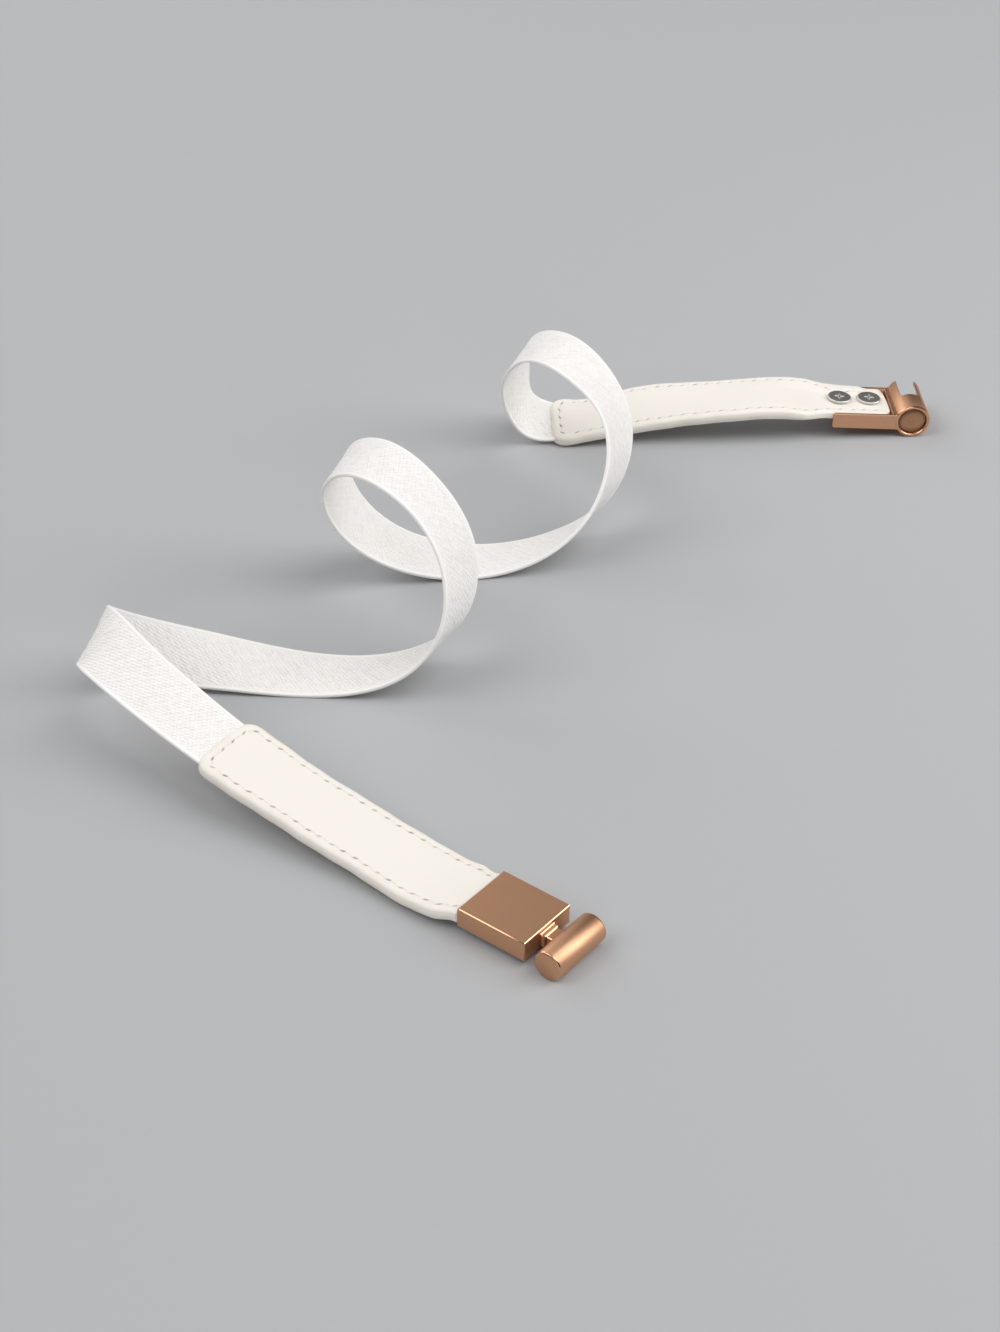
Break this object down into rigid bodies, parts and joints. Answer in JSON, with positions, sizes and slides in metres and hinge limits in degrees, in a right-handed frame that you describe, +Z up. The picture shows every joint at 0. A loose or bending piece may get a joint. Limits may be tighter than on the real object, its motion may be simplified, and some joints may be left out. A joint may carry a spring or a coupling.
{
  "type": "elastic belt",
  "caption": "Skinny elastic waist belt with sewn leather tabs and a clasp whose cross bar slides into a slotted tube, lying open in loose loops.",
  "frame": {"origin": "the middle of the lying belt's bounding box, on the flat surface that it lies on", "axes": "+X from the elastic toward the socket buckle, as seen to the right in the picture, +Y away from the viewer, +Z up from the surface"},
  "size_m": [0.2718, 0.3037, 0.0591],
  "materials": {
    "woven_elastic": "white finely ribbed woven elastic, matte",
    "leather": "smooth cream leather with a soft sheen",
    "buckle_metal": "satin rose-gold plating",
    "rivet_metal": "dull grey metal"
  },
  "bodies": {
    "root": {"elastic_band": "woven_elastic", "near_leather_tab": "leather", "far_leather_tab": "leather", "bar_buckle": "buckle_metal", "socket_buckle": "buckle_metal", "near_rivet_1": "rivet_metal", "near_rivet_2": "rivet_metal", "far_rivet_1": "rivet_metal", "far_rivet_2": "rivet_metal"}
  },
  "joints": []
}
